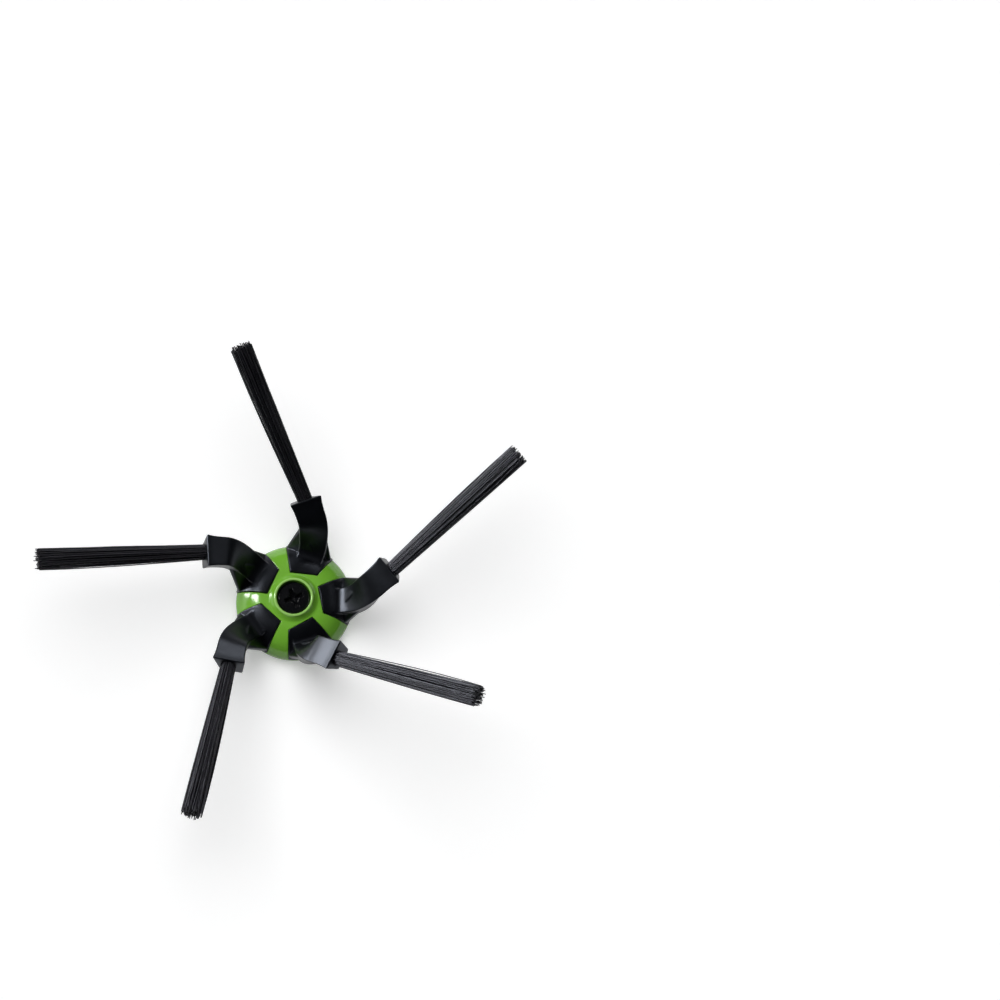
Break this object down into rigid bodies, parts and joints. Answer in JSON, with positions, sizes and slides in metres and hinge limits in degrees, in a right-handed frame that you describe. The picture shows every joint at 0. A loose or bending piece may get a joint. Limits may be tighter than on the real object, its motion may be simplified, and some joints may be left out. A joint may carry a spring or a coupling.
{
  "type": "robot vacuum side brush",
  "caption": "Side brush of a robot vacuum: a domed hub with a hex drive socket and a captive screw, rubber arms that lean up and sweep round, and a bristle tuft in each arm.",
  "frame": {"origin": "on the hub axis, in the end face of the drive boss, on which the brush rests", "axes": "+Z along the hub axis towards the dome and the screw's head, +X along the first arm where it leaves the hub"},
  "size_m": [0.1503, 0.1506, 0.0521],
  "materials": {
    "green_plastic": "glossy moulded lime green plastic",
    "black_plastic": "satin moulded black plastic",
    "black_steel": "black coated steel, semi gloss",
    "rubber": "satin moulded elastomer",
    "bristle": "drawn nylon filament, soft sheen"
  },
  "bodies": {
    "hub": {"hub_shell": "green_plastic", "back_plate": "black_plastic", "arm_1": "rubber", "arm_2": "rubber", "arm_3": "rubber", "arm_4": "rubber", "arm_5": "rubber", "tuft_1": "bristle", "tuft_2": "bristle", "tuft_3": "bristle", "tuft_4": "bristle", "tuft_5": "bristle"},
    "screw": {"screw": "black_steel"}
  },
  "joints": [
    {"name": "screw_turn", "type": "hinge", "parent": "hub", "child": "screw", "pos_m": [0, 0, 0.0087], "axis": [0, 0, 1], "continuous": true}
  ]
}
